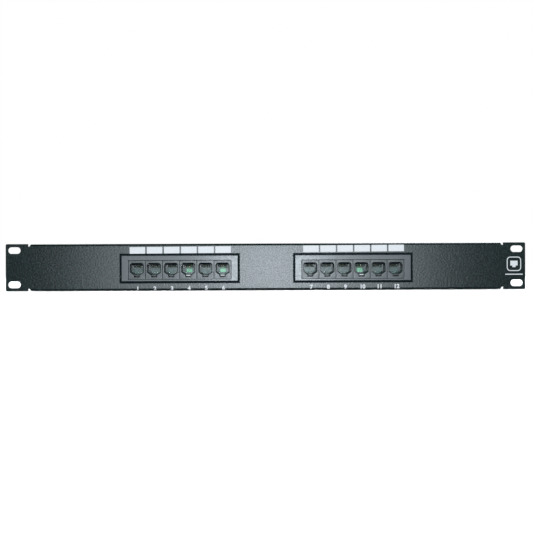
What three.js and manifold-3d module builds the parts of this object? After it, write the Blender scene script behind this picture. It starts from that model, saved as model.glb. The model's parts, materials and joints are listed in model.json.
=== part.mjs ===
// A 19-inch, one-unit patch panel with twelve modular jacks, in two six-port modules.
// A folded steel front panel carries the modules in two windows. Each module is a plastic
// bezel, six jacks, a circuit board screwed to the bezel's posts, six punch-down blocks and a
// label strip. In each jack, eight spring contacts lean down into the plug's space and are
// pushed up about their root when a plug goes in.
// Millimetres. +X is right and +Z is up as seen from the front, and the front faces -Y.
// The origin is the centre of the front sheet's rear face, in the plane of the rack's rails.
import * as THREE from "three";
import { mergeVertices } from "three/addons/utils/BufferGeometryUtils.js";
import Module from "manifold-3d";

const wasm = await Module();
wasm.setup();

// Driving dimensions.
const FIT_GAP = 0.15; // left between faces that rest on each other
const OVERCUT = 1; // how far a cut runs past the faces that it opens
const CURVE_STEPS = 5; // facets in a quarter turn of a bend or a rounded corner
const ROD_SIDES = 12;

// The front panel: rack width and one-unit height, with folded flanges between the ears.
const PANEL_WIDTH = 482.6;
const EAR_HEIGHT = 43.66;
const FOLD_HEIGHT = 43.3;
const SHEET = 1.5;
const BEND_RADIUS = 2;
const FLANGE_REAR = 13.5;
const FOLD_END = PANEL_WIDTH / 2 - 23.8;
const EAR_START = PANEL_WIDTH / 2 - 20.6;
const NOTCH_DEPTH = 2.3;
const NOTCH_SLANT = 1.9;
const EAR_CORNER = 0.8;
const EAR_OVERLAP = 2; // how far an ear's plate runs into the folded part
const RACK_SPACING = { x: 466.6, z: 31.75 };
const RACK_SLOT = { length: 11.5, height: 6.1, corner: 3 };

// A module: its place in the panel, its window, and the bezel's raised body and flange.
const MODULE_X = 80.5;
const MODULE_Z = -1.2;
const WINDOW = { width: 111.4, height: 27.6 };
const BEZEL_BODY = { width: 110.8, height: 27 };
const BEZEL_FLANGE = { width: 132, height: 33.6 };
const BEZEL_FRONT = -2.3;
const BEZEL_REAR = 2.15;
const BEZEL_CHAMFER = { width: 1.7, depth: 1.9 };
const PORTS_PER_MODULE = 6;

// A jack. Its own frame has the plug's axis at x = z = 0 and the jack's face at y = 0. The
// plug's axis is level with the module's centre.
const JACK_PITCH = 15.875;
const JACK_WIDTH = 15.6;
const JACK_TOP = 7.3;
const JACK_BOTTOM = -10.1;
const JACK_FACE_Y = -1.9;
const JACK_DEPTH = 15.6;
const CAVITY_DEPTH = 13.8;
const MOUTH_CHAMFER = { width: 0.5, depth: 0.9 };
const LATCH = { halfWidth: 2.2, bottom: -7.7, ledgeDepth: 0.8, slotTop: -6.8, slotDepth: 9 };
// Half of each opening's outline, from its top down: half-width and height above the axis.
const PLUG_SIDE = [[4, 4.6], [5.2, 4.1], [5.95, 2.9], [5.95, -3.4], [3.3, -5.2], [2.2, -6]];
const LATCH_SIDE = [[LATCH.halfWidth, -6], [LATCH.halfWidth, LATCH.bottom]];
const REAR_WINDOW_SIDE = [[5, 3], [5.4, -3.1], [3, -4.8], [2, -5.5]];
const CONTACT_RECESS = { width: 10.4, front: 1.7, bottom: 3.3, top: 6.45 };

// The eight spring contacts of a jack.
const CONTACT_COUNT = 8;
const CONTACT_PITCH = 1.02;
const CONTACT_WIDTH = 0.5;
const CONTACT_THICKNESS = 0.4;
const CONTACT_LENGTH = 10;
const CONTACT_ROOT = { y: 3.9, z: 5.35 };
const CONTACT_ROOT_RADIUS = 0.75;
const CONTACT_ROOT_STEPS = 8;
const CONTACT_SLOPE = THREE.MathUtils.degToRad(24);

// The circuit board, its posts and its screws.
const BOARD = { width: 112, height: 35, thickness: 1.6 };
const BOARD_FRONT = JACK_FACE_Y + JACK_DEPTH + FIT_GAP;
const BOARD_REAR = BOARD_FRONT + BOARD.thickness;
const POST = { x: 52, z: 10.5, radius: 3, bore: 1.25, boreFloor: 4.5 };
const BOARD_HOLE_RADIUS = 1.6;
const SCREW = { radius: 1.1, length: 9.6, tip: 1.4, tipRadius: 0.55 };
const SCREW_HEAD = { radius: 2.8, height: 1.9, rim: 1.05, crown: 2 };
const SCREW_CROSS = { reach: 1.7, width: 0.8, floor: 0.65 };
const SCREW_SIDES = 20;

// The studs that hold a module's bezel to the panel, and their nuts.
const STUD = { x: 61.5, radius: 1.45, baseRadius: 2.2, baseHeight: 1, rear: 6.6 };
const STUD_CLEARANCE = 0.3;
const NUT = { flats: 5.5, height: 2.4, bore: 1.6 };

// A punch-down block for one port: four pairs, so eight wire slots between nine teeth.
const BLOCK_PITCH = 31;
const BLOCK_ROW_Z = 9.8;
const BLOCK = { width: 30.6, thickness: 8.4, base: 6.5, tall: 15.5, short: 13.4 };
const WIRE_PITCH = 3.81;
const WIRE_SLOT = 1.2;
const TOOTH_TIP = { width: 0.7, height: 2.4 };
const BLOCK_COLUMNS = 3;

// The label strip between a module's two rows of punch-down blocks: a channel on its edges.
const LABEL = { width: 94, height: 9.2, wall: 1, depth: 3.4 };

// Finishes.
const finish = (color, roughness, metalness) =>
  new THREE.MeshStandardMaterial({ color, roughness, metalness });
const POWDER_COAT = finish(0x263232, 0.45, 0.2);
const BEZEL_PLASTIC = finish(0x30393c, 0.25, 0);
const JACK_PLASTIC = finish(0x2c3538, 0.3, 0);
const CONTACT_GOLD = finish(0xd8b25a, 0.25, 1);
const BOARD_GREEN = finish(0x1f6b4a, 0.35, 0);
const BLOCK_PLASTIC = finish(0xe6e3d6, 0.5, 0);
const ZINC_STEEL = finish(0xb9bcc0, 0.35, 1);
const LABEL_WHITE = finish(0xf1f2f4, 0.6, 0);

// Solids: every cut and join goes through these two conversions.
function solid(geometry) {
  const bare = geometry.clone();
  bare.deleteAttribute("normal");
  bare.deleteAttribute("uv");
  const merged = mergeVertices(bare, 1e-4);
  return new wasm.Manifold(
    new wasm.Mesh({
      numProp: 3,
      vertProperties: merged.attributes.position.array,
      triVerts: new Uint32Array(merged.index.array),
    }),
  );
}

function geometryOf(manifold) {
  const mesh = manifold.getMesh();
  const geometry = new THREE.BufferGeometry();
  geometry.setAttribute("position", new THREE.BufferAttribute(mesh.vertProperties, 3));
  geometry.setIndex(new THREE.BufferAttribute(mesh.triVerts, 1));
  geometry.computeVertexNormals();
  return geometry;
}

// A box from its lowest to its highest corner.
function block(low, high) {
  const size = high.map((value, i) => value - low[i]);
  const centre = high.map((value, i) => (value + low[i]) / 2);
  return solid(new THREE.BoxGeometry(...size).translate(...centre));
}

// An X-Z outline, as seen from the front, made into a plate from y = front to y = rear.
const OUTLINE_TO_XZ = new THREE.Matrix4().makeBasis(
  new THREE.Vector3(1, 0, 0),
  new THREE.Vector3(0, 0, 1),
  new THREE.Vector3(0, -1, 0),
);
function plate(outline, front, rear, bevel = { bevelEnabled: false }) {
  const options = { depth: rear - front, curveSegments: CURVE_STEPS, ...bevel };
  const geometry = new THREE.ExtrudeGeometry(outline, options);
  return solid(geometry.applyMatrix4(OUTLINE_TO_XZ).translate(0, rear, 0));
}

// A Y-Z outline made into a bar from x = left to x = right.
const OUTLINE_TO_YZ = new THREE.Matrix4().makeBasis(
  new THREE.Vector3(0, 1, 0),
  new THREE.Vector3(0, 0, 1),
  new THREE.Vector3(1, 0, 0),
);
function bar(outline, left, right, curveSegments = CURVE_STEPS) {
  const options = { depth: right - left, bevelEnabled: false, curveSegments };
  const geometry = new THREE.ExtrudeGeometry(outline, options);
  return solid(geometry.applyMatrix4(OUTLINE_TO_YZ).translate(left, 0, 0));
}

// A round rod along Y.
function rod(x, z, radius, front, rear, sides = ROD_SIDES) {
  const geometry = new THREE.CylinderGeometry(radius, radius, rear - front, sides);
  return solid(geometry.translate(x, (front + rear) / 2, z));
}

function polygon(points) {
  return new THREE.Shape(points.map(([u, v]) => new THREE.Vector2(u, v)));
}

// An outline that is the same on its left and right, from its right side, top to bottom.
function mirrored(side) {
  return polygon([...side.map(([u, v]) => [-u, v]), ...[...side].reverse()]);
}

// A rectangle about the origin, with square corners.
function rectangle(width, height) {
  const [u, v] = [width / 2, height / 2];
  return polygon([[-u, -v], [u, -v], [u, v], [-u, v]]);
}

// A slot about x and z, with its corners rounded.
function slot(x, z, { length, height, corner }) {
  const [right, top] = [x + length / 2 - corner, z + height / 2 - corner];
  const [left, bottom] = [x - length / 2 + corner, z - height / 2 + corner];
  return new THREE.Shape()
    .absarc(right, bottom, corner, -Math.PI / 2, 0)
    .absarc(right, top, corner, 0, Math.PI / 2)
    .absarc(left, top, corner, Math.PI / 2, Math.PI)
    .absarc(left, bottom, corner, Math.PI, (3 * Math.PI) / 2);
}

const SIDES = [-1, 1];
const CORNERS = SIDES.flatMap((sideZ) => SIDES.map((sideX) => [sideX, sideZ]));

// The front panel, folded from one sheet.
function foldedSection() {
  const centreY = -SHEET + BEND_RADIUS;
  const centreZ = FOLD_HEIGHT / 2 - BEND_RADIUS;
  const inner = BEND_RADIUS - SHEET;
  const top = FOLD_HEIGHT / 2;
  return new THREE.Shape()
    .moveTo(FLANGE_REAR, top)
    .absarc(centreY, centreZ, BEND_RADIUS, Math.PI / 2, Math.PI)
    .absarc(centreY, -centreZ, BEND_RADIUS, Math.PI, (3 * Math.PI) / 2)
    .lineTo(FLANGE_REAR, -top)
    .lineTo(FLANGE_REAR, -top + SHEET)
    .absarc(centreY, -centreZ, inner, (3 * Math.PI) / 2, Math.PI, true)
    .absarc(centreY, centreZ, inner, Math.PI, Math.PI / 2, true)
    .lineTo(FLANGE_REAR, top - SHEET);
}

function earOutline(side) {
  const neck = EAR_HEIGHT / 2 - NOTCH_DEPTH;
  const [edge, top] = [PANEL_WIDTH / 2, EAR_HEIGHT / 2];
  const inside = FOLD_END - EAR_OVERLAP;
  const points = [
    [inside, -neck], [EAR_START, -neck], [EAR_START, -top],
    [edge - EAR_CORNER, -top], [edge, -top + EAR_CORNER],
    [edge, top - EAR_CORNER], [edge - EAR_CORNER, top],
    [EAR_START, top], [EAR_START, neck], [inside, neck],
  ];
  return polygon(points.map(([u, v]) => [side * u, v]));
}

function reliefNotch(sideX, sideZ) {
  const floor = EAR_HEIGHT / 2 - NOTCH_DEPTH;
  const beyond = EAR_HEIGHT / 2 + OVERCUT;
  const points = [
    [EAR_START, floor], [FOLD_END + NOTCH_SLANT, floor],
    [FOLD_END, beyond], [EAR_START, beyond],
  ];
  return polygon(points.map(([u, v]) => [sideX * u, sideZ * v]));
}

function frontPanel() {
  const foldedHalf = FOLD_END + NOTCH_SLANT;
  let panel = bar(foldedSection(), -foldedHalf, foldedHalf);
  for (const side of SIDES) {
    panel = panel.add(plate(earOutline(side), -SHEET, 0));
  }
  for (const [sideX, sideZ] of CORNERS) {
    const rackSlot = slot((sideX * RACK_SPACING.x) / 2, (sideZ * RACK_SPACING.z) / 2, RACK_SLOT);
    const notch = reliefNotch(sideX, sideZ);
    panel = panel.subtract(plate(notch, -SHEET - OVERCUT, FLANGE_REAR + OVERCUT));
    panel = panel.subtract(plate(rackSlot, -SHEET - OVERCUT, OVERCUT));
  }
  for (const side of SIDES) {
    const outline = rectangle(WINDOW.width, WINDOW.height);
    const window = plate(outline, -SHEET - OVERCUT, OVERCUT);
    panel = panel.subtract(window.translate([side * MODULE_X, 0, MODULE_Z]));
  }
  return panel;
}

// A stud on the panel's rear face, and the nut that clamps the bezel's flange.
function panelStud() {
  const base = rod(0, 0, STUD.baseRadius, FIT_GAP, FIT_GAP + STUD.baseHeight);
  return base.add(rod(0, 0, STUD.radius, FIT_GAP, STUD.rear));
}

function studNut() {
  const front = BEZEL_REAR + FIT_GAP;
  const hexagon = rod(0, 0, NUT.flats / Math.sqrt(3), front, front + NUT.height, 6);
  const thread = rod(0, 0, NUT.bore, front - OVERCUT, front + NUT.height + OVERCUT);
  return hexagon.subtract(thread);
}

// The bezel: a raised face in the window, a flange behind the sheet, and four posts.
function bezel() {
  const bevel = {
    bevelEnabled: true,
    bevelSegments: 1,
    bevelSize: BEZEL_CHAMFER.width,
    bevelThickness: BEZEL_CHAMFER.depth,
    bevelOffset: -BEZEL_CHAMFER.width,
  };
  const [front, rear] = [BEZEL_FRONT + BEZEL_CHAMFER.depth, BEZEL_REAR - BEZEL_CHAMFER.depth];
  const face = plate(rectangle(BEZEL_BODY.width, BEZEL_BODY.height), front, rear, bevel);
  const flange = plate(rectangle(BEZEL_FLANGE.width, BEZEL_FLANGE.height), FIT_GAP, BEZEL_REAR);
  const inFlange = (FIT_GAP + BEZEL_REAR) / 2;
  let body = face.add(flange);
  for (const [sideX, sideZ] of CORNERS) {
    const [x, z] = [sideX * POST.x, sideZ * POST.z];
    body = body.add(rod(x, z, POST.radius, inFlange, BOARD_FRONT - FIT_GAP));
    body = body.subtract(rod(x, z, POST.bore, POST.boreFloor, BOARD_FRONT + OVERCUT));
  }
  for (const side of SIDES) {
    const holeRadius = STUD.baseRadius + STUD_CLEARANCE;
    body = body.subtract(rod(side * STUD.x, 0, holeRadius, -OVERCUT, BEZEL_REAR + OVERCUT));
  }
  const halfRow = (PORTS_PER_MODULE * JACK_PITCH) / 2;
  const opening = block(
    [-halfRow - FIT_GAP, BEZEL_FRONT - OVERCUT, JACK_BOTTOM - FIT_GAP],
    [halfRow + FIT_GAP, BEZEL_REAR + OVERCUT, JACK_TOP + FIT_GAP],
  );
  return body.subtract(opening);
}

// What is cut from a jack's front: its mouth's outline, wider at the face by the chamfer.
function mouthChamfer() {
  const bevel = {
    bevelEnabled: true,
    bevelSegments: 1,
    bevelSize: MOUTH_CHAMFER.width,
    bevelThickness: MOUTH_CHAMFER.depth,
  };
  return plate(mirrored([...PLUG_SIDE, ...LATCH_SIDE.slice(1)]), -OVERCUT, 0, bevel);
}

// A jack's housing. The plug's space narrows downwards to the latch's recess, which has a
// shallow ledge and a slot for the latch's tail under it. The contacts' recess is above, and
// the rear wall has a window onto the board.
function jackHousing() {
  const body = block(
    [-JACK_WIDTH / 2, 0, JACK_BOTTOM],
    [JACK_WIDTH / 2, JACK_DEPTH, JACK_TOP],
  );
  const latchSlot = block(
    [-LATCH.halfWidth, -OVERCUT, LATCH.bottom],
    [LATCH.halfWidth, LATCH.slotDepth, LATCH.slotTop],
  );
  const contactRecess = block(
    [-CONTACT_RECESS.width / 2, CONTACT_RECESS.front, CONTACT_RECESS.bottom],
    [CONTACT_RECESS.width / 2, CAVITY_DEPTH, CONTACT_RECESS.top],
  );
  return body
    .subtract(mouthChamfer())
    .subtract(plate(mirrored(PLUG_SIDE), -OVERCUT, CAVITY_DEPTH))
    .subtract(plate(mirrored(LATCH_SIDE), -OVERCUT, LATCH.ledgeDepth))
    .subtract(latchSlot)
    .subtract(contactRecess)
    .subtract(plate(mirrored(REAR_WINDOW_SIDE), CAVITY_DEPTH - OVERCUT, JACK_DEPTH + OVERCUT));
}

// Eight parallel spring wires, which leave the bottom of the round bend that joins them.
// They turn as one piece, and its own frame has its origin on the bend's axis.
function springContacts() {
  const half = ((CONTACT_COUNT - 1) * CONTACT_PITCH + CONTACT_WIDTH) / 2;
  const outline = new THREE.Shape().absarc(0, 0, CONTACT_ROOT_RADIUS, 0, 2 * Math.PI);
  const under = -CONTACT_ROOT_RADIUS;
  let contacts = bar(outline, -half, half, CONTACT_ROOT_STEPS);
  for (let i = 0; i < CONTACT_COUNT; i++) {
    const x = (i - (CONTACT_COUNT - 1) / 2) * CONTACT_PITCH;
    const wire = block(
      [x - CONTACT_WIDTH / 2, 0, under],
      [x + CONTACT_WIDTH / 2, CONTACT_LENGTH, under + CONTACT_THICKNESS],
    );
    contacts = contacts.add(wire);
  }
  return contacts;
}

// A module's circuit board, with a clearance hole at each post.
function circuitBoard() {
  let board = plate(rectangle(BOARD.width, BOARD.height), BOARD_FRONT, BOARD_REAR);
  for (const [sideX, sideZ] of CORNERS) {
    const [x, z] = [sideX * POST.x, sideZ * POST.z];
    const hole = rod(x, z, BOARD_HOLE_RADIUS, BOARD_FRONT - OVERCUT, BOARD_REAR + OVERCUT);
    board = board.subtract(hole);
  }
  return board;
}

// A pan-head screw, driven forwards through the board, with a cross recess in its head.
function boardScrew() {
  const seat = BOARD_REAR + FIT_GAP;
  const profile = [
    [0, -SCREW.length], [SCREW.tipRadius, -SCREW.length],
    [SCREW.radius, SCREW.tip - SCREW.length], [SCREW.radius, 0],
    [SCREW_HEAD.radius, 0], [SCREW_HEAD.radius, SCREW_HEAD.rim],
    [SCREW_HEAD.crown, SCREW_HEAD.height], [0, SCREW_HEAD.height],
  ];
  const points = profile.map(([u, v]) => new THREE.Vector2(u, v));
  const turned = solid(new THREE.LatheGeometry(points, SCREW_SIDES)).translate([0, seat, 0]);
  const [arm, half] = [SCREW_CROSS.reach, SCREW_CROSS.width / 2];
  const [floor, above] = [seat + SCREW_CROSS.floor, seat + SCREW_HEAD.height + OVERCUT];
  return turned
    .subtract(block([-arm, floor, -half], [arm, above, half]))
    .subtract(block([-half, floor, -arm], [half, above, arm]));
}

// A punch-down block, from the board's rear at y = 0. Tall teeth part the pairs.
function toothOutline(x, top, leftWidth, rightWidth) {
  const shoulder = top - TOOTH_TIP.height;
  const tip = TOOTH_TIP.width / 2;
  return [
    [x - leftWidth, BLOCK.base], [x - leftWidth, shoulder],
    [x - Math.min(tip, leftWidth), top], [x + Math.min(tip, rightWidth), top],
    [x + rightWidth, shoulder], [x + rightWidth, BLOCK.base],
  ];
}

function punchDownBlock() {
  const halfTooth = (WIRE_PITCH - WIRE_SLOT) / 2;
  const endTooth = BLOCK.width / 2 - (CONTACT_COUNT / 2) * WIRE_PITCH;
  const points = [[-BLOCK.width / 2, 0]];
  for (let i = 0; i <= CONTACT_COUNT; i++) {
    const top = i % 2 === 0 ? BLOCK.tall : BLOCK.short;
    const leftWidth = i === 0 ? endTooth : halfTooth;
    const rightWidth = i === CONTACT_COUNT ? endTooth : halfTooth;
    const x = (i - CONTACT_COUNT / 2) * WIRE_PITCH;
    points.push(...toothOutline(x, top, leftWidth, rightWidth));
  }
  points.push([BLOCK.width / 2, 0]);
  const options = { depth: BLOCK.thickness, bevelEnabled: false };
  const geometry = new THREE.ExtrudeGeometry(polygon(points), options);
  return solid(geometry.translate(0, 0, -BLOCK.thickness / 2));
}

// The label strip: a shallow channel that stands on the board on its two long edges.
function labelStrip() {
  const front = BOARD_REAR + FIT_GAP;
  const rear = front + LABEL.depth;
  const [outer, inner] = [LABEL.height / 2, LABEL.height / 2 - LABEL.wall];
  const channel = polygon([
    [front, -outer], [rear, -outer], [rear, outer], [front, outer],
    [front, inner], [rear - LABEL.wall, inner], [rear - LABEL.wall, -inner], [front, -inner],
  ]);
  return bar(channel, -LABEL.width / 2, LABEL.width / 2);
}

// The assembly.
function piece(name, geometry, material, x = 0, y = 0, z = 0) {
  const mesh = new THREE.Mesh(geometry, material);
  mesh.name = name;
  mesh.position.set(x, y, z);
  return mesh;
}

const twoDigits = (number) => String(number).padStart(2, "0");

const shapes = {
  stud: geometryOf(panelStud()),
  nut: geometryOf(studNut()),
  bezel: geometryOf(bezel()),
  jack: geometryOf(jackHousing()),
  contacts: geometryOf(springContacts()),
  board: geometryOf(circuitBoard()),
  screw: geometryOf(boardScrew()),
  block: geometryOf(punchDownBlock()),
  label: geometryOf(labelStrip()),
};

function jack(port) {
  const group = new THREE.Group();
  const contacts = piece(
    `jack_contacts_${twoDigits(port)}`, shapes.contacts, CONTACT_GOLD,
    0, CONTACT_ROOT.y, CONTACT_ROOT.z,
  );
  contacts.rotation.x = -CONTACT_SLOPE;
  group.add(piece(`jack_housing_${twoDigits(port)}`, shapes.jack, JACK_PLASTIC));
  group.add(contacts);
  return group;
}

function module(side, index) {
  const group = new THREE.Group();
  const name = side < 0 ? "left" : "right";
  const firstPort = index * PORTS_PER_MODULE + 1;
  group.position.set(side * MODULE_X, 0, MODULE_Z);
  group.add(piece(`bezel_${name}`, shapes.bezel, BEZEL_PLASTIC));
  group.add(piece(`circuit_board_${name}`, shapes.board, BOARD_GREEN));
  group.add(piece(`label_strip_${name}`, shapes.label, LABEL_WHITE));
  for (let i = 0; i < PORTS_PER_MODULE; i++) {
    const unit = jack(firstPort + i);
    unit.position.set((i - (PORTS_PER_MODULE - 1) / 2) * JACK_PITCH, JACK_FACE_Y, 0);
    group.add(unit);
  }
  // Odd ports are wired on the top row and even ports on the bottom row.
  for (let i = 0; i < PORTS_PER_MODULE; i++) {
    const x = (Math.floor(i / 2) - (BLOCK_COLUMNS - 1) / 2) * BLOCK_PITCH;
    const z = i % 2 === 0 ? BLOCK_ROW_Z : -BLOCK_ROW_Z;
    const label = `idc_block_${twoDigits(firstPort + i)}`;
    group.add(piece(label, shapes.block, BLOCK_PLASTIC, x, BOARD_REAR + FIT_GAP, z));
  }
  CORNERS.forEach(([sideX, sideZ], i) => {
    const number = index * CORNERS.length + i + 1;
    group.add(
      piece(`board_screw_${number}`, shapes.screw, ZINC_STEEL, sideX * POST.x, 0, sideZ * POST.z),
    );
  });
  SIDES.forEach((sideX, i) => {
    const number = index * SIDES.length + i + 1;
    group.add(piece(`panel_stud_${number}`, shapes.stud, ZINC_STEEL, sideX * STUD.x));
    group.add(piece(`stud_nut_${number}`, shapes.nut, ZINC_STEEL, sideX * STUD.x));
  });
  return group;
}

const patchPanel = new THREE.Group();
patchPanel.add(piece("front_panel", geometryOf(frontPanel()), POWDER_COAT));
SIDES.forEach((side, index) => patchPanel.add(module(side, index)));

export default patchPanel;
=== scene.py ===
"""The looks of a one-unit patch panel with twelve modular jacks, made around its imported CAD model.

Metres, in the CAD's frame: +X right and +Z up as seen from the front, and the front faces -Y.
"""

import json
import math

import bmesh
import bpy
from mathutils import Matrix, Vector


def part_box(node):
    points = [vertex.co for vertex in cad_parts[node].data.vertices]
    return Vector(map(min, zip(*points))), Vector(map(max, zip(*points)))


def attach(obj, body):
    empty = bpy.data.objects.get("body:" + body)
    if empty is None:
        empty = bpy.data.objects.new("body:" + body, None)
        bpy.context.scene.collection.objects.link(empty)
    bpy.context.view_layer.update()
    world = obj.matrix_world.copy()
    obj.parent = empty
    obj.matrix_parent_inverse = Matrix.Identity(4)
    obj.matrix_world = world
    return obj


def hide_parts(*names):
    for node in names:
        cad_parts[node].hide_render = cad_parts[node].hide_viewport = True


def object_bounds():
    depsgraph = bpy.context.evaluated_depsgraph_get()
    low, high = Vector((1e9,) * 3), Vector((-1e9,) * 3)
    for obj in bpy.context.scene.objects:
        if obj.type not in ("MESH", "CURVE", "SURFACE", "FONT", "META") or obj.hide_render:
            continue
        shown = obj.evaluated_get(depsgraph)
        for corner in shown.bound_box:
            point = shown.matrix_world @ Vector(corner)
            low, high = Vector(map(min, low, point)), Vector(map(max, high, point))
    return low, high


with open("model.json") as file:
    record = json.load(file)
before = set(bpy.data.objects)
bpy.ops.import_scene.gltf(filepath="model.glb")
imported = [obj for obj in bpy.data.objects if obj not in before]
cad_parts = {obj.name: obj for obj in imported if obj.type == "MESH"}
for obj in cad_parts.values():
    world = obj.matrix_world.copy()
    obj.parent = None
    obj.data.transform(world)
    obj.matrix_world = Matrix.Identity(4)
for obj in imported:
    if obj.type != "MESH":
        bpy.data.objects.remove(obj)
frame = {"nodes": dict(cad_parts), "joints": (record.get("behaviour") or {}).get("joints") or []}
cad_low, cad_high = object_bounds()

MM = 0.001
SIDES = ("left", "right")
PORTS = range(1, 13)
PORTS_PER_MODULE = 6
GLINT_PORTS = (4, 6, 10)  # behind these jacks: copper under the mask, lighter green as a painted reflection; a painted glint on the ledge
SCREWS = range(1, 9)
STUDS = range(1, 5)
TWO_SIDES = (-1, 1)


def mid(a, b):
    return (a + b) / 2


def ports_of(side):
    first = 1 + SIDES.index(side) * PORTS_PER_MODULE
    return range(first, first + PORTS_PER_MODULE)


# ---------------------------------------------------------------- camera and stage

VIEW_DISTANCE = 0.8
VIEW_WIDTH = 0.4945  # what the picture's width takes in, at the panel's front face
VIEW_CENTRE = (0.0, 0.0002)
VIEW_ROLL = math.radians(0.23)
VIEW_TURN = math.radians(0.75)  # how far the camera stands to the left of straight ahead
SENSOR = 36
LAMP_COLOUR = (0.84, 0.93, 1.0)
FLOOR_GAP = 0.2 * MM
FLOOR_REACH = 30.0


def add_camera():
    data = bpy.data.cameras.new("camera")
    data.sensor_width = SENSOR
    data.lens = SENSOR * VIEW_DISTANCE / VIEW_WIDTH
    data.clip_start = 0.01
    camera = bpy.data.objects.new("camera", data)
    x, z = VIEW_CENTRE
    across, away = VIEW_DISTANCE * math.sin(VIEW_TURN), VIEW_DISTANCE * math.cos(VIEW_TURN)
    camera.location = (x - across, cad_low.y - away, z)
    camera.rotation_euler = (math.radians(90), VIEW_ROLL, -VIEW_TURN)
    bpy.context.scene.collection.objects.link(camera)
    bpy.context.scene.camera = camera


def add_area_light(name, location, target, size, power, colour=LAMP_COLOUR):
    data = bpy.data.lights.new(name, "AREA")
    data.shape = "RECTANGLE"
    data.size, data.size_y = size
    data.energy = power
    data.color = colour
    light = bpy.data.objects.new(name, data)
    light.location = location
    aim = Vector(target) - Vector(location)
    light.rotation_euler = aim.to_track_quat("-Z", "Y").to_euler()
    bpy.context.scene.collection.objects.link(light)
    return light


def mix_by_camera_ray(tree, seen, lit_by):
    """One shader for what the camera sees, and another for the light that falls on the object."""
    ray = tree.nodes.new("ShaderNodeLightPath")
    mix = tree.nodes.new("ShaderNodeMixShader")
    tree.links.new(ray.outputs["Is Camera Ray"], mix.inputs["Fac"])
    tree.links.new(lit_by.outputs[0], mix.inputs[1])
    tree.links.new(seen.outputs[0], mix.inputs[2])
    return mix.outputs[0]


def add_world():
    """White behind the object, and a dimmer, even light on it."""
    world = bpy.data.worlds.new("studio")
    world.use_nodes = True
    tree = world.node_tree
    around = tree.nodes["Background"]
    around.inputs["Color"].default_value = (0.9, 0.97, 1.0, 1)
    around.inputs["Strength"].default_value = 0.08
    behind = tree.nodes.new("ShaderNodeBackground")
    behind.inputs["Color"].default_value = (1, 1, 1, 1)
    surface = mix_by_camera_ray(tree, behind, around)
    tree.links.new(surface, tree.nodes["World Output"].inputs["Surface"])
    bpy.context.scene.world = world


def add_floor():
    """A white floor for the camera only: it neither lights the object nor shades it from below."""
    corners = [(a * FLOOR_REACH, b * FLOOR_REACH) for a, b in ((-1, -1), (1, -1), (1, 1), (-1, 1))]
    mesh = bpy.data.meshes.new("floor")
    mesh.from_pydata([(x, y, cad_low.z - FLOOR_GAP) for x, y in corners], [], [(0, 1, 2, 3)])
    floor = bpy.data.objects.new("floor", mesh)
    bpy.context.scene.collection.objects.link(floor)
    material = bpy.data.materials.new("pale_floor")
    material.use_nodes = True
    tree = material.node_tree
    white = tree.nodes.new("ShaderNodeBsdfDiffuse")
    white.inputs["Color"].default_value = (0.92, 0.92, 0.92, 1)
    clear = tree.nodes.new("ShaderNodeBsdfTransparent")
    surface = mix_by_camera_ray(tree, white, clear)
    tree.links.new(surface, tree.nodes["Material Output"].inputs["Surface"])
    mesh.materials.append(material)
    return floor


def add_floor_light(floor):
    """Soft light from above, on the floor only, so that the object's shadow falls on it."""
    data = bpy.data.lights.new("overhead", "SUN")
    data.energy = 3.3
    data.angle = math.radians(60)
    light = bpy.data.objects.new("overhead", data)
    bpy.context.scene.collection.objects.link(light)
    receivers = bpy.data.collections.new("floor_only")
    receivers.objects.link(floor)
    light.light_linking.receiver_collection = receivers


def light_the_scene():
    """A small lamp near the camera for the highlight in the middle, and a wide one for the rest.

    The fill lights the matt surfaces only, and isn't seen in the glossy ones. Two more lamps, behind
    and above, light the rear, and don't reach the front.
    """
    bpy.context.scene.view_settings.view_transform = "Standard"
    add_world()
    centre = (0, 0, 0)
    add_area_light("key", (0.02, -0.93, 0), centre, (0.21, 0.16), 1.62)
    add_area_light("softbox", (-0.004, -0.8, 0), (-0.004, 0, 0), (0.62, 0.3), 2.75)
    fill = add_area_light("fill", (0, -0.9, 0.33), centre, (0.3, 0.2), 5.0, (1, 1, 1))
    fill.visible_glossy = False
    add_area_light("rear_key", (0.35, 0.8, 0.45), centre, (0.5, 0.4), 4.5)
    add_area_light("rear_fill", (-0.5, 0.7, 0.25), centre, (0.4, 0.5), 2)
    add_floor_light(add_floor())


# ---------------------------------------------------------------- materials


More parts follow.
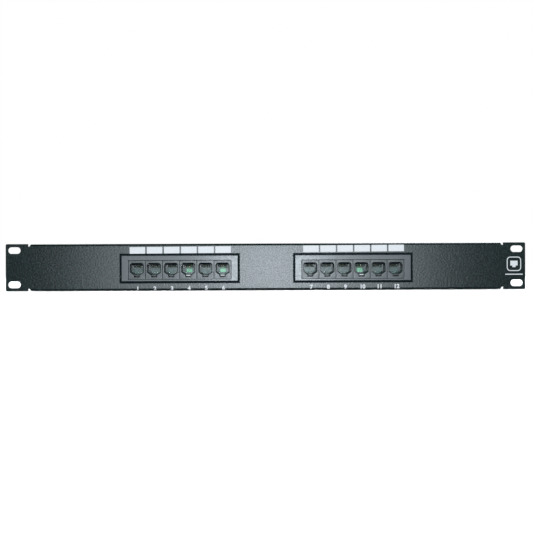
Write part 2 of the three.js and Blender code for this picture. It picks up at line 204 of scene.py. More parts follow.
class Finish:
    """A Principled material whose textures are laid out in metres on the object's own coordinates."""

    def __init__(self, name, colour, roughness, metallic=0.0, specular=0.5):
        self.material = bpy.data.materials.new(name)
        self.material.use_nodes = True
        self.nodes = self.material.node_tree.nodes
        self.links = self.material.node_tree.links
        self.shader = self.nodes["Principled BSDF"]
        self.colour = colour
        self.roughness = roughness
        self.shader.inputs["Base Color"].default_value = (*colour, 1)
        self.shader.inputs["Roughness"].default_value = roughness
        self.shader.inputs["Metallic"].default_value = metallic
        self.shader.inputs["Specular IOR Level"].default_value = specular
        self.place = self.nodes.new("ShaderNodeTexCoord").outputs["Object"]

    def stretched(self, scale):
        """The object's coordinates, scaled on each axis."""
        mapping = self.nodes.new("ShaderNodeMapping")
        mapping.inputs["Scale"].default_value = scale
        self.links.new(self.place, mapping.inputs["Vector"])
        return mapping.outputs["Vector"]

    def noise(self, size, detail=3.0, place=None):
        """Noise from 0 to 1, whose features are about size metres across."""
        texture = self.nodes.new("ShaderNodeTexNoise")
        texture.inputs["Scale"].default_value = 1 / size
        texture.inputs["Detail"].default_value = detail
        self.links.new(place or self.place, texture.inputs["Vector"])
        return texture.outputs["Fac"]

    def spread(self, value, low, high):
        """Maps the middle of a noise, 0.3 to 0.7, onto low to high."""
        remap = self.nodes.new("ShaderNodeMapRange")
        for name, number in (("From Min", 0.3), ("From Max", 0.7), ("To Min", low), ("To Max", high)):
            remap.inputs[name].default_value = number
        self.links.new(value, remap.inputs["Value"])
        return remap.outputs["Result"]

    def vary_colour(self, value, darker, lighter):
        """Mixes two shades of the colour by a noise."""
        mix = self.nodes.new("ShaderNodeMix")
        mix.data_type = "RGBA"
        mix.inputs["A"].default_value = (*[c * darker for c in self.colour], 1)
        mix.inputs["B"].default_value = (*[min(c * lighter, 1) for c in self.colour], 1)
        self.links.new(self.spread(value, 0, 1), mix.inputs["Factor"])
        self.links.new(mix.outputs["Result"], self.shader.inputs["Base Color"])
        return self

    def vary_roughness(self, value, amount):
        rough = self.spread(value, self.roughness - amount, self.roughness + amount)
        self.links.new(rough, self.shader.inputs["Roughness"])
        return self

    def bump(self, height, depth):
        """Adds relief of that depth, in metres, on top of any relief already there."""
        node = self.nodes.new("ShaderNodeBump")
        node.inputs["Strength"].default_value = 1.0
        node.inputs["Distance"].default_value = depth
        self.links.new(height, node.inputs["Height"])
        below = self.shader.inputs["Normal"].links
        if below:
            self.links.new(below[0].from_socket, node.inputs["Normal"])
        self.links.new(node.outputs["Normal"], self.shader.inputs["Normal"])
        return self


def powder_coat():
    """Semi-gloss black powder coat: an orange-peel surface with a fine grain."""
    coat = Finish("powder_coat", (0.0065, 0.0135, 0.0135), 0.24)
    coat.vary_colour(coat.noise(1.7 * MM), 0.35, 2.0)
    coat.vary_roughness(coat.noise(1.6 * MM), 0.035)
    coat.bump(coat.noise(1.7 * MM, 2), 0.09 * MM)
    return coat.bump(coat.noise(0.35 * MM, 2), 0.006 * MM).material


def moulded_plastic(name, colour, roughness, grain, specular=0.5):
    """Injection-moulded plastic: flow marks drawn out along X, and a fine spark-eroded grain."""
    plastic = Finish(name, colour, roughness, specular=specular)
    flow = plastic.noise(6 * MM, 3, plastic.stretched((0.35, 1, 1)))
    streaks = plastic.noise(1.6 * MM, 3, plastic.stretched((0.06, 1, 1)))
    plastic.vary_colour(flow, 0.88, 1.14)
    plastic.vary_roughness(plastic.noise(2.5 * MM), 0.04)
    plastic.bump(streaks, 4 * grain)
    return plastic.bump(plastic.noise(0.25 * MM, 2), grain).material


def gold_plate():
    gold = Finish("contact_gold", (0.72, 0.5, 0.22), 0.2, metallic=1.0)
    gold.vary_colour(gold.noise(0.8 * MM), 0.9, 1.08)
    gold.vary_roughness(gold.noise(0.4 * MM), 0.06)
    return gold.bump(gold.noise(0.15 * MM, 2, gold.stretched((4, 1, 1))), 0.001 * MM).material


def solder_mask(name, colour):
    """Green mask over glass cloth, whose weave shows through faintly."""
    mask = Finish(name, colour, 0.3)
    weave_x = mask.noise(0.5 * MM, 1, mask.stretched((1, 1, 0.15)))
    weave_z = mask.noise(0.5 * MM, 1, mask.stretched((0.15, 1, 1)))
    mask.vary_colour(mask.noise(2.5 * MM), 0.55, 1.45)
    mask.vary_roughness(mask.noise(1.5 * MM), 0.08)
    return mask.bump(weave_x, 0.004 * MM).bump(weave_z, 0.004 * MM).material


def plated_steel():
    """Bright zinc plate, with the bluish cloudiness of its passivation."""
    zinc = Finish("zinc_steel", (0.66, 0.68, 0.71), 0.3, metallic=1.0)
    zinc.vary_colour(zinc.noise(1.5 * MM), 0.82, 1.1)
    zinc.vary_roughness(zinc.noise(0.7 * MM), 0.08)
    return zinc.bump(zinc.noise(0.2 * MM, 3), 0.003 * MM).material


def solder():
    tin = Finish("solder", (0.78, 0.79, 0.8), 0.24, metallic=1.0)
    tin.vary_roughness(tin.noise(0.5 * MM), 0.08)
    return tin.bump(tin.noise(0.3 * MM), 0.01 * MM).material


def ink(name, colour):
    """Screen-printed ink, slightly uneven and grainy."""
    layer = Finish(name, colour, 0.6, specular=0.3)
    layer.vary_colour(layer.noise(1.1 * MM), 0.96, 1.04)
    layer.vary_roughness(layer.noise(0.6 * MM), 0.05)
    return layer.bump(layer.noise(0.3 * MM, 2), 0.004 * MM).material


def paper():
    sheet = Finish("label_paper", (0.84, 0.84, 0.8), 0.85)
    sheet.vary_colour(sheet.noise(0.6 * MM, 5), 0.94, 1.05)
    sheet.vary_roughness(sheet.noise(1 * MM), 0.05)
    return sheet.bump(sheet.noise(0.12 * MM, 4), 0.006 * MM).material


MATERIALS = {
    "powder_coat": powder_coat(),
    "bezel_plastic": moulded_plastic("bezel_plastic", (0.011, 0.02, 0.024), 0.2, 0.002 * MM, 0.56),
    "jack_plastic": moulded_plastic("jack_plastic", (0.012, 0.021, 0.024), 0.29, 0.003 * MM, 0.62),
    # A black comb, made near black and dull so that it also paints the shade at the top of each jack's mouth.
    "carrier_plastic": moulded_plastic("carrier_plastic", (0.0015, 0.0035, 0.006), 0.7, 0.003 * MM, 0.06),
    "block_plastic": moulded_plastic("block_plastic", (0.74, 0.72, 0.64), 0.45, 0.004 * MM),
    "label_strip": moulded_plastic("label_strip", (0.78, 0.78, 0.79), 0.4, 0.003 * MM),
    "contact_gold": gold_plate(),
    "circuit_board": solder_mask("circuit_board", (0.012, 0.055, 0.048)),
    # Copper under the mask. On the patches behind some jacks, its light green is also a painted reflection.
    "board_traces": solder_mask("board_traces", (0.1, 0.46, 0.23)),
    "zinc_steel": plated_steel(),
    "solder": solder(),
    "white_ink": ink("white_ink", (0.72, 0.74, 0.76)),
    "black_ink": ink("black_ink", (0.02, 0.02, 0.022)),
    "label_paper": paper(),
}

# The colours of the four pairs, as printed on the blocks.
PAIR_COLOURS = {
    "blue_ink": (0.02, 0.09, 0.5),
    "orange_ink": (0.8, 0.2, 0.02),
    "green_ink": (0.02, 0.3, 0.06),
    "brown_ink": (0.16, 0.06, 0.02),
}
for ink_name, ink_colour in PAIR_COLOURS.items():
    MATERIALS[ink_name] = ink(ink_name, ink_colour)


# ---------------------------------------------------------------- making pieces


def add_piece(name, bm, material, body="root", smooth_angle=35):
    """A new piece from a bmesh, which rides on a body and is smooth except at sharp edges."""
    bmesh.ops.recalc_face_normals(bm, faces=bm.faces)
    mesh = bpy.data.meshes.new(name)
    bm.to_mesh(mesh)
    bm.free()
    mesh.materials.append(MATERIALS[material])
    for polygon in mesh.polygons:
        polygon.use_smooth = True
    mesh.set_sharp_from_angle(angle=math.radians(smooth_angle))
    piece = bpy.data.objects.new(name, mesh)
    bpy.context.scene.collection.objects.link(piece)
    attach(piece, body)
    return piece


def to_front(u, v, depth):
    """A point on an outline seen from the front: u to the right, v up, depth to the rear."""
    return Vector((u, depth, v))


def to_top(u, v, depth):
    """A point on an outline seen from above: u to the right, v to the rear, depth up."""
    return Vector((u, v, depth))


def extrude(bm, outline, start, end, place=to_front):
    """Adds a solid: the outline drawn out from start to end. Returns its vertices."""
    near = [bm.verts.new(place(u, v, start)) for u, v in outline]
    far = [bm.verts.new(place(u, v, end)) for u, v in outline]
    bm.faces.new(near)
    bm.faces.new(list(reversed(far)))
    for i in range(len(outline)):
        j = (i + 1) % len(outline)
        bm.faces.new((near[i], far[i], far[j], near[j]))
    return near + far


def rectangle(centre, size):
    (u, v), (width, height) = centre, size
    return [(u + width / 2 * a, v + height / 2 * b) for a, b in ((-1, -1), (1, -1), (1, 1), (-1, 1))]


def rounded_rectangle(centre, size, radius, steps=5):
    (u, v), (width, height) = centre, size
    points = []
    for quarter, (a, b) in enumerate(((1, 1), (-1, 1), (-1, -1), (1, -1))):
        corner_u = u + a * (width / 2 - radius)
        corner_v = v + b * (height / 2 - radius)
        for step in range(steps + 1):
            angle = math.pi / 2 * (quarter + step / steps)
            points.append((corner_u + radius * math.cos(angle), corner_v + radius * math.sin(angle)))
    return points


def soften(bm, width, segments=2, min_angle=30):
    """Rounds every edge that is sharper than min_angle."""
    limit = math.radians(min_angle)
    edges = [e for e in bm.edges if len(e.link_faces) == 2 and e.calc_face_angle(0) > limit]
    bmesh.ops.bevel(
        bm, geom=edges, offset=width, segments=segments, profile=0.5, affect="EDGES", clamp_overlap=True
    )


def sweep(bm, path, x, width, thickness, corner=0.3):
    """Adds a flat wire: a rounded section carried along a path of (y, z) points at a given x."""
    section = rounded_rectangle((0, 0), (width, thickness), corner * thickness, 2)
    rings = []
    for i, (y, z) in enumerate(path):
        before = path[max(i - 1, 0)]
        after = path[min(i + 1, len(path) - 1)]
        along = Vector((0, after[0] - before[0], after[1] - before[1])).normalized()
        across = Vector((0, -along.z, along.y))
        centre = Vector((x, y, z))
        rings.append([bm.verts.new(centre + Vector((u, 0, 0)) + across * v) for u, v in section])
    for ring, following in zip(rings, rings[1:]):
        for i in range(len(section)):
            j = (i + 1) % len(section)
            bm.faces.new((ring[i], ring[j], following[j], following[i]))
    bm.faces.new(rings[0])
    bm.faces.new(list(reversed(rings[-1])))


def dome(bm, centre, radius, height, axis=1, rings=4, sides=12):
    """Adds a solder joint: a round dome that stands out along +Y, or along -Y if axis is -1."""
    x, y, z = centre
    turn = [2 * math.pi * side / sides for side in range(sides)]
    levels = []
    for ring in range(rings):
        angle = math.pi / 2 * ring / rings
        r, h = radius * math.cos(angle), height * math.sin(angle)
        level = [(x + r * math.cos(a), y + axis * h, z + r * math.sin(a)) for a in turn]
        levels.append([bm.verts.new(point) for point in level])
    tip = bm.verts.new((x, y + axis * height, z))
    for low, high in zip(levels, levels[1:]):
        for i in range(sides):
            j = (i + 1) % sides
            bm.faces.new((low[i], low[j], high[j], high[i]))
    for i in range(sides):
        bm.faces.new((levels[-1][i], levels[-1][(i + 1) % sides], tip))
    bm.faces.new(levels[0])


def text_outline(text, height, centre, facing, y, depth, weight=0.0):
    """A bmesh of raised characters. facing is -1 for a front face and 1 for a rear one."""
    curve = bpy.data.curves.new("text", "FONT")
    curve.body = text
    curve.align_x = "CENTER"
    curve.offset = weight
    curve.extrude = depth / 2
    curve.resolution_u = 6
    maker = bpy.data.objects.new("text", curve)
    bpy.context.scene.collection.objects.link(maker)
    bpy.context.view_layer.update()
    mesh = bpy.data.meshes.new_from_object(maker)
    bpy.data.objects.remove(maker)
    bpy.data.curves.remove(curve)
    low = min(v.co.y for v in mesh.vertices)
    high = max(v.co.y for v in mesh.vertices)
    scale = height / (high - low)
    bm = bmesh.new()
    bm.from_mesh(mesh)
    bpy.data.meshes.remove(mesh)
    for v in bm.verts:
        u, w, out = v.co.x * scale, (v.co.y - mid(low, high)) * scale, v.co.z
        v.co = (centre[0] - facing * u, y + facing * out, centre[1] + w)
    bmesh.ops.remove_doubles(bm, verts=bm.verts, dist=0.001 * MM)
    return bm


def merge(target, source):
    mesh = bpy.data.meshes.new("part")
    source.to_mesh(mesh)
    source.free()
    target.from_mesh(mesh)
    bpy.data.meshes.remove(mesh)


# ---------------------------------------------------------------- the CAD's own nodes


def dress(node, material, bevel, segments=2, angle=30):
    """Gives a CAD node its material, and rounds its edges with modifiers."""
    thing = frame["nodes"][node]
    thing.data.materials.clear()
    thing.data.materials.append(MATERIALS[material])
    for polygon in thing.data.polygons:
        polygon.use_smooth = True
    weld = thing.modifiers.new("weld", "WELD")
    weld.merge_threshold = 0.002 * MM
    rounding = thing.modifiers.new("rounding", "BEVEL")
    rounding.width = bevel
    rounding.segments = segments
    rounding.limit_method = "ANGLE"
    rounding.angle_limit = math.radians(angle)
    rounding.harden_normals = True
    thing.modifiers.new("shading", "WEIGHTED_NORMAL").keep_sharp = True


def dress_frame():
    dress("front_panel", "powder_coat", 0.15 * MM)
    for side in SIDES:
        dress(f"bezel_{side}", "bezel_plastic", 0.3 * MM, 3)
        dress(f"circuit_board_{side}", "circuit_board", 0.08 * MM)
        dress(f"label_strip_{side}", "label_strip", 0.15 * MM)
    for port in PORTS:
        dress(f"jack_housing_{port:02d}", "jack_plastic", 0.18 * MM)
        dress(f"idc_block_{port:02d}", "block_plastic", 0.15 * MM)
    for number in SCREWS:
        dress(f"board_screw_{number}", "zinc_steel", 0.12 * MM)
    for number in STUDS:
        dress(f"panel_stud_{number}", "zinc_steel", 0.08 * MM)
        dress(f"stud_nut_{number}", "zinc_steel", 0.25 * MM)


# ---------------------------------------------------------------- printing on the front

INK_DEPTH = 0.03 * MM
PANEL_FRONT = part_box("front_panel")[0].y
PRINT_SHIFT = (0.7 * MM, 0.0)
PRINT_TILT = math.radians(0.33)
PRINT_CORNER = 0.3 * MM
LABEL_FIELD = (14.4 * MM, 6.1 * MM)
LABEL_Z = 16.3 * MM
NUMBER_HEIGHT = 4.1 * MM
NUMBER_Z = -19.2 * MM
NUMBER_WEIGHT = 0.04  # how far the strokes are thickened, as a part of the letter size
FOLD_BOTTOM = -21.65 * MM  # the underside of the panel's lower flange
FOLD_RADIUS = 2.0 * MM
FOLD_STEPS = 9
FOLD_STEP = math.radians(9)  # a turn along the fold, small enough to follow its curve
LEDGE_DEPTH = 0.8 * MM  # the latch's ledge, behind the housing's face
LEDGE_Z = 3.7 * MM  # the ledge's middle, above the housing's underside
# The white ink on the latch's ledge, which is a painted glint: its width and height.
LEDGE_GLINT_SIZE = (3.9 * MM, 0.75 * MM)
# The mark on the right ear, from its own middle.
MARK = {
    "from_edge": 10.6 * MM,
    "z": 1.8 * MM,
    "size": 13.4 * MM,
    "line": 0.8 * MM,
    "corner": 3.2 * MM,
    "bar": (16.5 * MM, 0.9 * MM),
    "bar_drop": 9.7 * MM,
    "bar_corner": 0.4 * MM,
    "mouth": {"half": 3.4 * MM, "top": 2.9 * MM, "shoulder": -1.6 * MM},
    "latch": {"half": 1.5 * MM, "bottom": -3.1 * MM},
}


def printed(x, z):
    """Where a place on the front is printed: the screen was laid on a little off, and turned."""
    turn, rise = math.cos(PRINT_TILT), math.sin(PRINT_TILT)
    return x * turn - z * rise + PRINT_SHIFT[0], x * rise + z * turn + PRINT_SHIFT[1]


def wrap_round_fold(v):
    """Lays what reaches the panel's bottom round its fold, as far along it as it was below its start."""
    start = FOLD_BOTTOM + FOLD_RADIUS
    if v.co.z < start:
        turn = (start - v.co.z) / FOLD_RADIUS
        radius = FOLD_RADIUS + PANEL_FRONT - v.co.y
        v.co.y = PANEL_FRONT + FOLD_RADIUS - radius * math.cos(turn)
        v.co.z = start - radius * math.sin(turn)


def jack_centre_x(port):
    low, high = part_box(f"jack_housing_{port:02d}")
    return mid(low.x, high.x)


def print_labels(side):
    """Six white fields for writing on, above a module's window."""
    bm = bmesh.new()
    for port in ports_of(side):
        field = rounded_rectangle((jack_centre_x(port), LABEL_Z), LABEL_FIELD, PRINT_CORNER, 3)
        outline = [printed(x, z) for x, z in field]
        extrude(bm, outline, PANEL_FRONT - INK_DEPTH, PANEL_FRONT + INK_DEPTH)
    add_piece(f"label_fields_{side}", bm, "white_ink")


def print_numbers(side):
    bm = bmesh.new()
    for port in ports_of(side):
        centre, depth = (jack_centre_x(port), NUMBER_Z), 2 * INK_DEPTH
        number = text_outline(str(port), NUMBER_HEIGHT, centre, -1, PANEL_FRONT, depth, NUMBER_WEIGHT)
        merge(bm, number)
    for v in bm.verts:
        v.co.x, v.co.z = printed(v.co.x, v.co.z)
    for step in range(FOLD_STEPS):
        fold = Vector((0, 0, FOLD_BOTTOM + FOLD_RADIUS * (1 - step * FOLD_STEP)))
        everything = [*bm.verts, *bm.edges, *bm.faces]
        bmesh.ops.bisect_plane(bm, geom=everything, plane_co=fold, plane_no=(0, 0, 1))
    for v in bm.verts:
        wrap_round_fold(v)
    add_piece(f"port_numbers_{side}", bm, "white_ink")


def paint_latch_ledges():
    """A painted glint: white ink on the latch's ledge, in the jacks that have copper behind them."""
    for port in GLINT_PORTS:
        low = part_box(f"jack_housing_{port:02d}")[0]
        bm = bmesh.new()
        glint_spot = rounded_rectangle((jack_centre_x(port), low.z + LEDGE_Z), LEDGE_GLINT_SIZE, PRINT_CORNER, 3)
        ledge = low.y + LEDGE_DEPTH
        extrude(bm, glint_spot, ledge - INK_DEPTH, ledge + INK_DEPTH)
        add_piece(f"ledge_glint_{port:02d}", bm, "white_ink")


def print_ear_mark():
    """A plain mark for a jack panel: a jack's mouth in a rounded square, over a bar."""
    x, z = cad_high.x - MARK["from_edge"], MARK["z"]
    size, line, corner = MARK["size"], MARK["line"], MARK["corner"]
    front, back = PANEL_FRONT - INK_DEPTH, PANEL_FRONT + INK_DEPTH
    bm = bmesh.new()
    outer = rounded_rectangle((x, z), (size, size), corner)
    inner = rounded_rectangle((x, z), (size - 2 * line,) * 2, corner - line)
    ring_band(bm, outer, inner, front, back)
    mouth, latch = MARK["mouth"], MARK["latch"]
    left = [
        (-mouth["half"], mouth["top"]),
        (-mouth["half"], mouth["shoulder"]),
        (-latch["half"], mouth["shoulder"]),
        (-latch["half"], latch["bottom"]),
    ]
    right = [(-u, v) for u, v in reversed(left)]
    extrude(bm, [(x + u, z + v) for u, v in left + right], front, back)
    bar = rounded_rectangle((x, z - MARK["bar_drop"]), MARK["bar"], MARK["bar_corner"])
    extrude(bm, bar, front, back)
    add_piece("ear_mark", bm, "white_ink")


def ring_band(bm, outer, inner, front, back):
    """Adds the band between two outlines with the same number of points."""
    rows = [
        [bm.verts.new(to_front(u, v, depth)) for u, v in outline]
        for outline, depth in ((outer, front), (inner, front), (inner, back), (outer, back))
    ]
    count = len(outer)
    for row, following in zip(rows, rows[1:] + rows[:1]):
        for i in range(count):
            j = (i + 1) % count
            bm.faces.new((row[i], row[j], following[j], following[i]))


# ---------------------------------------------------------------- inside a jack

WIRES = 8
WIRE_PITCH = 1.02 * MM
WIRE_WIDTH = 0.46 * MM
WIRE_THICKNESS = 0.3 * MM
BEND_RADIUS = 0.6 * MM  # to the wire's middle
WIRE_SLOPE = math.radians(24)
WIRE_REACH = 9.6 * MM
WIRE_STEPS = 6
WIRE_TIP = (0.4 * MM, 0.075 * MM)  # to the rear, and up
ROOT_WIDTH = 0.94 * WIRE_WIDTH
ROOT_THICKNESS = 0.88 * WIRE_THICKNESS  # thinner than the wire that turns over it
FLEX = math.radians(14)  # the hinge's whole turn
ROOT_OVERLAP = FLEX + math.radians(8)
CAVITY_BACK = 13.8 * MM
# The carrier, from the wires' hinge: the slab under their roots, the ribs between them, a cheek at
# each end, and the lip in front of the bend, whose near-black, dull plastic also paints the shade at the
# mouth's top.
CARRIER = {
    "width": 10.0 * MM,
    "bottom": -0.25 * MM,
    "top": 1.0 * MM,
    "front": 1.0 * MM,
    "slab_drop": 0.16 * MM,  # from the middle of the wires down to the slab
    "rib_width": 0.42 * MM,
    "rib_drop": 0.3 * MM,
    "rib_ahead": 0.6 * MM,
    "lip": 1.1 * MM,
    "lip_gap": 0.95 * MM,
    "lip_drop": 1.9 * MM,
    "cheek_overlap": 0.1 * MM,
    "rounding": 0.06 * MM,
}
PLUG_AXIS = 10.1 * MM  # above the housing's underside


def wire_xs(centre_x):
    return [centre_x + (i - (WIRES - 1) / 2) * WIRE_PITCH for i in range(WIRES)]


def arc(centre, radius, start, end, steps=12):
    """Points on an arc in the Y-Z plane. An angle of 0 is to the rear, and 90 degrees is up."""
    angles = [start + (end - start) * i / steps for i in range(steps + 1)]
    return [(centre[0] + radius * math.cos(a), centre[1] + radius * math.sin(a)) for a in angles]


def moving_wire_path(hinge):
    """Round the front of the bend, down the slope to the rear, and up at the tip."""
    leaves_at = 1.5 * math.pi - WIRE_SLOPE
    path = arc(hinge, BEND_RADIUS, math.pi / 2, leaves_at)
    y, z = path[-1]
    along = (math.cos(WIRE_SLOPE), -math.sin(WIRE_SLOPE))
    for step in range(1, WIRE_STEPS + 1):
        travel = WIRE_REACH * step / WIRE_STEPS
        path.append((y + along[0] * travel, z + along[1] * travel))
    y, z = path[-1]
    path.append((y + WIRE_TIP[0], z + WIRE_TIP[1]))
    return path


def fixed_wire_path(hinge, rear):
    """From the jack's rear, forward along the carrier, to the top of the bend and a little round it."""
    y, z = hinge
    path = [(rear, z + BEND_RADIUS), (mid(rear, y), z + BEND_RADIUS)]
    return path + arc(hinge, BEND_RADIUS, math.pi / 2, math.pi / 2 + ROOT_OVERLAP, 4)


def add_jack_inside(port):
    label = f"{port:02d}"
    low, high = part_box(f"jack_housing_{label}")
    joint = next(j for j in frame["joints"] if j["child"] == f"contacts_{label}")
    hinge = joint["pos_m"][1:]
    xs = wire_xs(joint["pos_m"][0])
    rear = low.y + CAVITY_BACK

    moving = bmesh.new()
    for x in xs:
        sweep(moving, moving_wire_path(hinge), x, WIRE_WIDTH, WIRE_THICKNESS)
    body = f"contacts_{label}"
    wires = add_piece(f"spring_wires_{label}", moving, "contact_gold", body)
    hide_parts(f"jack_contacts_{label}")

    fixed = bmesh.new()
    for x in xs:
        sweep(fixed, fixed_wire_path(hinge, rear), x, ROOT_WIDTH, ROOT_THICKNESS)
    add_piece(f"wire_roots_{label}", fixed, "contact_gold")

    add_carrier(label, mid(low.x, high.x), hinge, rear)


def add_carrier(label, x, hinge, rear):
    """The comb that holds the wires' roots: a slab, a rib between each wire and the next, and a lip. Its
    near-black, dull plastic also paints the shade at the top of the jack's mouth.
    """
    hinge_y, hinge_z = hinge
    front = hinge_y + CARRIER["front"]
    bottom, top = hinge_z + CARRIER["bottom"], hinge_z + CARRIER["top"]
    wire_z = hinge_z + BEND_RADIUS
    width, rib_width = CARRIER["width"], CARRIER["rib_width"]
    bm = bmesh.new()
    slab_top = wire_z - CARRIER["slab_drop"]
    extrude(bm, rectangle((x, mid(bottom, slab_top)), (width, slab_top - bottom)), front, rear)
    rib_bottom = wire_z - CARRIER["rib_drop"]
    rib_xs = [x + (i - WIRES / 2) * WIRE_PITCH for i in range(WIRES + 1)]
    for rib_x in rib_xs:
        rib = rectangle((rib_x, mid(rib_bottom, top)), (rib_width, top - rib_bottom))
        extrude(bm, rib, front - CARRIER["rib_ahead"], rear)
    lip_rear = hinge_y - CARRIER["lip_gap"]
    lip_bottom = hinge_z - CARRIER["lip_drop"]
    overlap = CARRIER["cheek_overlap"]
    for cheek_x in (rib_xs[0], rib_xs[-1]):
        cheek = rectangle((cheek_x, mid(lip_bottom, top)), (rib_width, top - lip_bottom))
        extrude(bm, cheek, lip_rear - overlap, front + overlap)
    lip = rectangle((x, mid(lip_bottom, top)), (width, top - lip_bottom))
    extrude(bm, lip, lip_rear - CARRIER["lip"], lip_rear)
    soften(bm, CARRIER["rounding"], 1)
    add_piece(f"contact_carrier_{label}", bm, "carrier_plastic")


# ---------------------------------------------------------------- the rear of a module

SLOT_PITCH = 3.81 * MM
# A clip, from the block's face on the board and from its slot's middle.
CLIP = {
    "thickness": 0.4 * MM,
    "foot": 6.1 * MM,
    "tip": 12.6 * MM,
    "throat": 0.12 * MM,
    "vee_depth": 1.3 * MM,
    "vee_half": 0.42 * MM,
    "outer_half": 0.58 * MM,
    "rounding": 0.03 * MM,
}
MARK_INK = 0.02 * MM
PAIR_MARK = (2.6 * MM, 2.2 * MM)
PAIR_MARK_Y = 3.2 * MM  # from the block's face on the board
STRIPE = (2.6 * MM, 0.7 * MM)
STRIPE_OFFSET = 0.75 * MM


def slot_xs(port):
    low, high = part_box(f"idc_block_{port:02d}")
    return [mid(low.x, high.x) + (i - (WIRES - 1) / 2) * SLOT_PITCH for i in range(WIRES)]


def side_of(port):
    return SIDES[0] if port in ports_of(SIDES[0]) else SIDES[1]


def is_upper(port):
    """Whether a port's block is in the upper row on its board."""
    block_low, block_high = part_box(f"idc_block_{port:02d}")
    board_low, board_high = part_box(f"circuit_board_{side_of(port)}")
    return mid(block_low.z, block_high.z) > mid(board_low.z, board_high.z)


def add_block_clips(port):
    """Eight slotted metal clips, each with two prongs that part in a V where the wire goes in."""
    low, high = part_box(f"idc_block_{port:02d}")
    bm = bmesh.new()
    foot, tip = low.y + CLIP["foot"], low.y + CLIP["tip"]
    z = mid(low.z, high.z)
    for x in slot_xs(port):
        for hand in TWO_SIDES:
            prong = [
                (x + hand * CLIP["throat"], foot),
                (x + hand * CLIP["throat"], tip - CLIP["vee_depth"]),
                (x + hand * CLIP["vee_half"], tip),
                (x + hand * CLIP["outer_half"], tip),
                (x + hand * CLIP["outer_half"], foot),
            ]
            extrude(bm, prong, z - CLIP["thickness"] / 2, z + CLIP["thickness"] / 2, to_top)
    soften(bm, CLIP["rounding"], 1)
    add_piece(f"wire_clips_{port:02d}", bm, "zinc_steel")


def add_block_colours(port):
    """Coloured marks under the slots, on the block's outer side: each pair's striped wire, then its plain."""
    low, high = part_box(f"idc_block_{port:02d}")
    face_z = high.z if is_upper(port) else low.z
    span = (face_z - MARK_INK, face_z + MARK_INK)
    y = low.y + PAIR_MARK_Y
    for pair, ink_name in enumerate(PAIR_COLOURS):
        striped, plain = slot_xs(port)[2 * pair:2 * pair + 2]
        bm = bmesh.new()
        extrude(bm, rounded_rectangle((plain, y), PAIR_MARK, PRINT_CORNER, 3), *span, to_top)
        for hand in TWO_SIDES:
            extrude(bm, rectangle((striped, y + hand * STRIPE_OFFSET), STRIPE), *span, to_top)
        colour = ink_name.split("_")[0]
        add_piece(f"{colour}_marks_{port:02d}", bm, ink_name)


TRACE_HEIGHT = 0.035 * MM
TRACE_WIDTH = 0.38 * MM
SHORTEST_TRACE = 0.05 * MM
LARGEST_SLANT = 0.8  # of a trace's rise
TRACE_RISE = {"rear": 5.2 * MM, "front": 6.6 * MM}  # past a block's middle, on each face of the board
# The copper patch behind some jacks, whose lighter green paints the reflection off the board there.
POUR_SHEEN_SIZE = (5.2 * MM, 3.4 * MM)
POUR_SHEEN_DROP = 2 * MM  # below the plug's axis
POUR_SHEEN_CORNER = 0.4 * MM
PIN_PITCH = 1.27 * MM
PIN_ROWS = (2.2 * MM, -3.9 * MM)  # a jack's two rows of pins, from the plug's axis
# Solder joints: each one's radius and height.
SOLDER_SINK = 0.01 * MM
PIN_JOINT = (0.65 * MM, 0.75 * MM)
PIN_JOINT_FRONT = (0.5 * MM, 0.3 * MM)
CLIP_JOINT = (0.75 * MM, 0.8 * MM)


def plug_axis_z(port):
    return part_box(f"jack_housing_{port:02d}")[0].z + PLUG_AXIS


def pin_places(port):
    """Where a jack's eight pins come through the board: (x, z), in two staggered rows."""
    x, z = jack_centre_x(port), plug_axis_z(port)
    return [(x + (i - (WIRES - 1) / 2) * PIN_PITCH, z + PIN_ROWS[i % 2]) for i in range(WIRES)]


def add_board_details(side):
    """Traces and solder joints on a module's circuit board, and the patches of copper behind some jacks,
    whose light green is a painted reflection.
    """
    low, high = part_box(f"circuit_board_{side}")
    front, rear = low.y + SOLDER_SINK, high.y - SOLDER_SINK
    joints = bmesh.new()
    traces = bmesh.new()
    for port in ports_of(side):
        block_low, block_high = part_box(f"idc_block_{port:02d}")
        block_z = mid(block_low.z, block_high.z)
        way = 1 if is_upper(port) else -1
        for (x, z), clip_x in zip(pin_places(port), slot_xs(port)):
            dome(joints, (x, rear, z), *PIN_JOINT)
            dome(joints, (x, front, z), *PIN_JOINT_FRONT, -1)
            dome(joints, (clip_x, front, block_z), *CLIP_JOINT, -1)
            add_trace(traces, (x, z), (clip_x, block_z + way * TRACE_RISE["rear"]), high.y)
            front_end = (clip_x, block_z + way * TRACE_RISE["front"])
            add_trace(traces, (clip_x, block_z), front_end, low.y)
        # Copper under the mask, lighter green as a painted reflection off the board behind this jack.
        if port in GLINT_PORTS:
            centre = (jack_centre_x(port), plug_axis_z(port) - POUR_SHEEN_DROP)
            patch = rounded_rectangle(centre, POUR_SHEEN_SIZE, POUR_SHEEN_CORNER, 3)
            extrude(traces, patch, low.y - TRACE_HEIGHT, low.y)
    add_piece(f"solder_joints_{side}", joints, "solder", smooth_angle=80)
    add_piece(f"board_traces_{side}", traces, "board_traces")


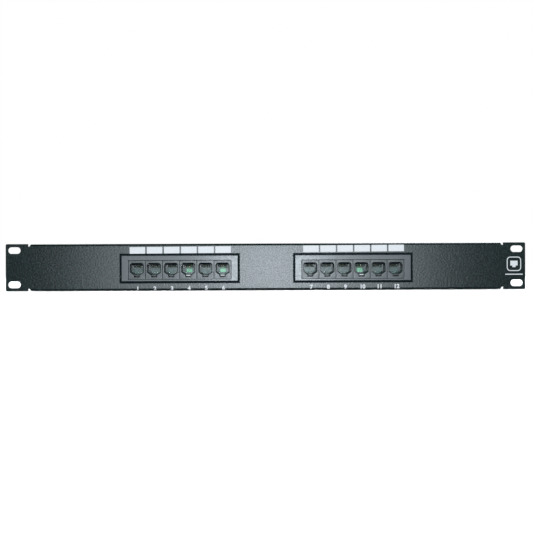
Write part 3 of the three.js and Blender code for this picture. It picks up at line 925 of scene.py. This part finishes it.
def add_trace(bm, start, end, y):
    """A copper track under the mask: straight up or down, then aslant, then straight on to its end."""
    across = end[0] - start[0]
    way = 1 if end[1] > start[1] else -1
    slant = min(abs(across), abs(end[1] - start[1]) * LARGEST_SLANT)
    knee = start[1] + way * (abs(end[1] - start[1]) - slant) / 2
    points = [start, (start[0], knee), (end[0], knee + way * slant), end]
    for (x0, z0), (x1, z1) in zip(points, points[1:]):
        along = Vector((x1 - x0, z1 - z0))
        if along.length < SHORTEST_TRACE:
            continue
        side = Vector((-along.y, along.x)).normalized() * TRACE_WIDTH / 2
        ends = (((x0, z0), 1), ((x0, z0), -1), ((x1, z1), -1), ((x1, z1), 1))
        outline = [(x + hand * side.x, z + hand * side.y) for (x, z), hand in ends]
        extrude(bm, outline, y - TRACE_HEIGHT, y + TRACE_HEIGHT)


# The paper label on the strip between the rows of blocks.
PAPER = {"side_margin": 1.5 * MM, "end_margin": 0.6 * MM, "corner": 0.4 * MM}
PAPER_SINK = 0.02 * MM
PAPER_HEIGHT = 0.1 * MM
PAPER_NUMBER = 2.3 * MM
PAPER_INK = 0.03 * MM
PAPER_LINE = 0.2 * MM


def add_label_insert(side):
    """A paper label on the strip, with the ports' numbers and a line between each and the next."""
    low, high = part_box(f"label_strip_{side}")
    centre = (mid(low.x, high.x), mid(low.z, high.z))
    width = high.x - low.x - 2 * PAPER["side_margin"]
    height = high.z - low.z - 2 * PAPER["end_margin"]
    face = high.y + PAPER_HEIGHT
    sheet = bmesh.new()
    outline = rounded_rectangle(centre, (width, height), PAPER["corner"], 3)
    extrude(sheet, outline, high.y - PAPER_SINK, face)
    add_piece(f"label_paper_{side}", sheet, "label_paper")

    marks = bmesh.new()
    lines = (face - PAPER_INK / 3, face + 2 * PAPER_INK / 3)
    for port in ports_of(side):
        block_low, block_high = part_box(f"idc_block_{port:02d}")
        row = 1 if is_upper(port) else -1
        place = (mid(block_low.x, block_high.x), centre[1] + row * height / 4)
        merge(marks, text_outline(str(port), PAPER_NUMBER, place, 1, face, PAPER_INK))
        if is_upper(port):
            divider = rectangle((block_low.x - PAPER_LINE, centre[1]), (PAPER_LINE, height))
            extrude(marks, divider, *lines)
    extrude(marks, rectangle(centre, (width, PAPER_LINE)), *lines)
    add_piece(f"label_print_{side}", marks, "black_ink")


# A stud's thread: how far it starts behind the stud's front and ends before its rear, and its ridge.
THREAD = {
    "pitch": 0.5 * MM,
    "root": 1.4 * MM,
    "crest": 1.56 * MM,
    "half_width": 0.2 * MM,
    "start": 1.3 * MM,
    "end": 0.4 * MM,
    "steps_per_turn": 16,
}


def add_stud_thread(number):
    """The thread on a stud's end: a ridge that winds round the shaft."""
    low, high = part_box(f"panel_stud_{number}")
    x, z = mid(low.x, high.x), mid(low.z, high.z)
    root, crest, half_width = THREAD["root"], THREAD["crest"], THREAD["half_width"]
    start, end = low.y + THREAD["start"], high.y - THREAD["end"]
    rise = THREAD["pitch"] / THREAD["steps_per_turn"]
    turn = 2 * math.pi / THREAD["steps_per_turn"]
    section = ((root, -half_width), (crest, 0), (root, half_width))
    bm = bmesh.new()
    rings = []
    for step in range(int((end - start) / rise) + 1):
        across, up = math.cos(step * turn), math.sin(step * turn)
        y = start + step * rise
        ring = [(x + r * across, y + dy, z + r * up) for r, dy in section]
        rings.append([bm.verts.new(point) for point in ring])
    for ring, following in zip(rings, rings[1:]):
        for i in range(len(section)):
            j = (i + 1) % len(section)
            bm.faces.new((ring[i], ring[j], following[j], following[i]))
    bm.faces.new(rings[0])
    bm.faces.new(list(reversed(rings[-1])))
    add_piece(f"stud_thread_{number}", bm, "zinc_steel")


# ---------------------------------------------------------------- putting it together

add_camera()
light_the_scene()
dress_frame()
for side in SIDES:
    print_labels(side)
    print_numbers(side)
    add_board_details(side)
    add_label_insert(side)
print_ear_mark()
paint_latch_ledges()
for port in PORTS:
    add_jack_inside(port)
    add_block_clips(port)
    add_block_colours(port)
for number in STUDS:
    add_stud_thread(number)
